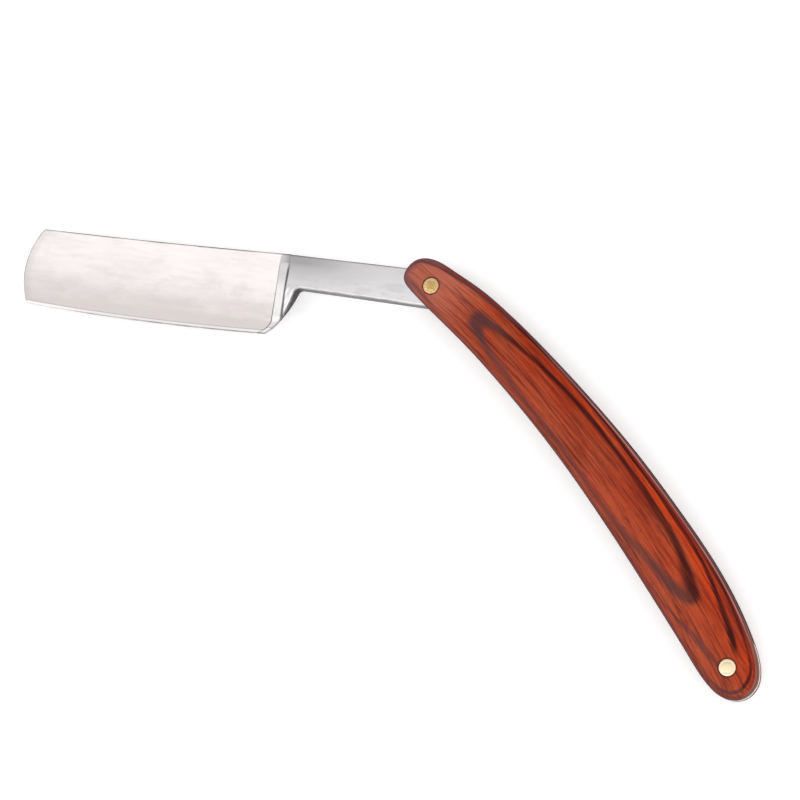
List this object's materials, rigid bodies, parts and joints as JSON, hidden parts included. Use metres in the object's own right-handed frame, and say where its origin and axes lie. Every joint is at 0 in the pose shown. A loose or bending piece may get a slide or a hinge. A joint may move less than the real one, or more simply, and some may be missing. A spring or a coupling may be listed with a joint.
{
  "type": "straight razor",
  "caption": "Folding straight razor: wide steel blade with a rounded toe, turning on a brass pin between two bowed wooden scales with a metal tail wedge.",
  "frame": {"origin": "on the pivot pin's axis, in the plane of the rear scale's flat outer face", "axes": "+X from the pivot pin to the tail pin; +Y to the convex side of the scales, where the edge lies when closed; +Z from the rear scale to the front scale, along the pivot axis"},
  "size_m": [0.2304, 0.1106, 0.0099],
  "materials": {
    "scale_wood": "gloss lacquered, laminated red-orange and dark purple-brown layers",
    "blade_steel": "satin polished, with fine grinding marks",
    "brass": "peened and polished flush",
    "wedge_metal": "polished"
  },
  "bodies": {
    "handle": {"front_scale": "scale_wood", "rear_scale": "scale_wood", "wedge": "wedge_metal", "pivot_pin": "brass", "tail_pin": "brass", "front_pivot_collar": "brass", "rear_pivot_collar": "brass", "front_tail_collar": "brass", "rear_tail_collar": "brass", "front_tang_washer": "brass", "rear_tang_washer": "brass"},
    "blade": {"blade": "blade_steel"}
  },
  "joints": [
    {"name": "blade_pivot", "type": "hinge", "parent": "handle", "child": "blade", "pos_m": [0, 0, 0.00495], "axis": [0, 0, 1], "range_deg": [-200, 128.9]}
  ]
}
